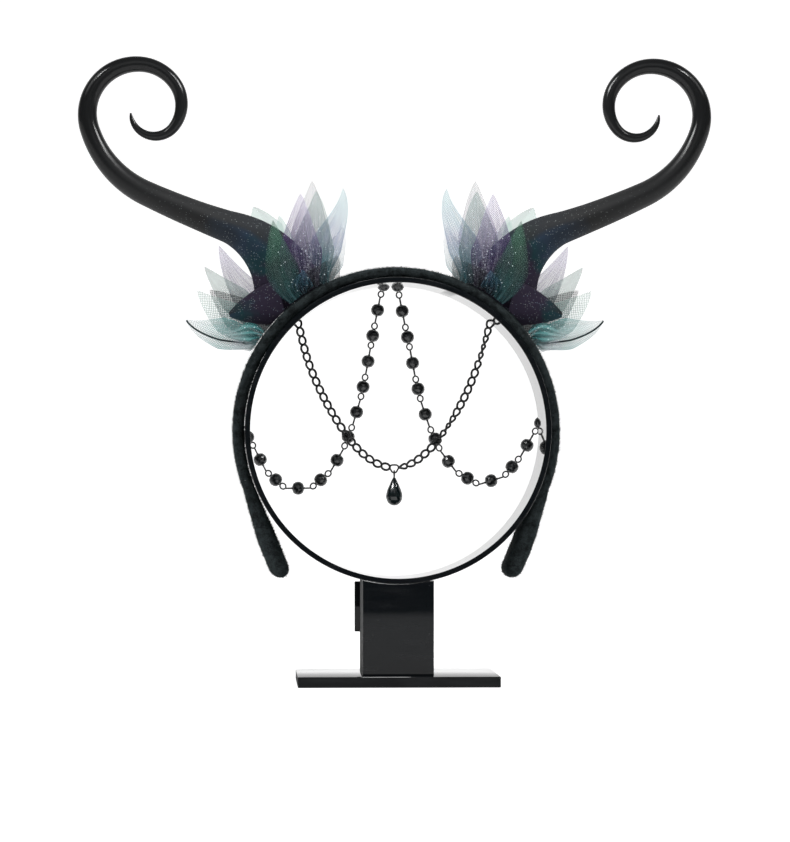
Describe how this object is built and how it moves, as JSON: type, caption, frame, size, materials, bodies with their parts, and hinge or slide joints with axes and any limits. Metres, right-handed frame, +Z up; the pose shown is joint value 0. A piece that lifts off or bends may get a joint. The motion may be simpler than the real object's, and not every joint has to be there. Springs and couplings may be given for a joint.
{
  "type": "tentacle headband on display stand",
  "caption": "Velvet headband with curled tentacles, organza petals, bead strings and a curb chain with a teardrop pendant, on a black ring display stand.",
  "frame": {"origin": "centre of the underside of the stand's base", "axes": "+Z up, +X the wearer's left as seen from behind, +Y the wearer's face side"},
  "size_m": [0.3, 0.068, 0.2958],
  "materials": {
    "acrylic": "polished black acrylic",
    "velvet": "black velvet with a short pile",
    "satin": "black satin cloth",
    "organza_green": "sheer green organza, darker at the seat",
    "organza_purple": "sheer purple organza, darker at the seat",
    "jet_beads": "faceted black beads on gunmetal wire",
    "gunmetal": "black plated metal",
    "jet_drop": "glossy black drop"
  },
  "bodies": {
    "headpiece": {"stand_base": "acrylic", "stand_post": "acrylic", "stand_ring": "acrylic", "stand_plate": "acrylic", "velvet_band": "velvet", "tentacle_left": "satin", "petal_crown_front_left": "organza_green", "petal_crown_purple_left": "organza_purple", "petal_crown_inner_left": "organza_green", "petal_crown_sliver_left": "organza_green", "petal_crown_back_left": "organza_green", "petal_veil_front_left": "organza_green", "petal_veil_middle_left": "organza_green", "petal_veil_back_left": "organza_green", "petal_flame_lilac_left": "organza_purple", "petal_flame_upper_left": "organza_green", "petal_flame_net_left": "organza_green", "petal_flame_lower_left": "organza_green", "petal_flame_curled_left": "organza_green", "bead_string_left": "jet_beads", "curb_chain_left": "gunmetal", "tentacle_right": "satin", "petal_crown_front_right": "organza_green", "petal_crown_purple_right": "organza_purple", "petal_crown_inner_right": "organza_green", "petal_crown_sliver_right": "organza_green", "petal_crown_back_right": "organza_green", "petal_veil_front_right": "organza_green", "petal_veil_middle_right": "organza_green", "petal_veil_back_right": "organza_green", "petal_flame_lilac_right": "organza_purple", "petal_flame_upper_right": "organza_green", "petal_flame_net_right": "organza_green", "petal_flame_lower_right": "organza_green", "petal_flame_curled_right": "organza_green", "bead_string_right": "jet_beads", "curb_chain_right": "gunmetal", "chain_centre_link": "gunmetal"},
    "pendant_drop": {"pendant": "jet_drop"}
  },
  "joints": [
    {"name": "pendant_swing", "type": "hinge", "parent": "headpiece", "child": "pendant_drop", "pos_m": [0, 0.0244, 0.099], "axis": [1, 0, 0], "range_deg": [-60, 60]}
  ]
}
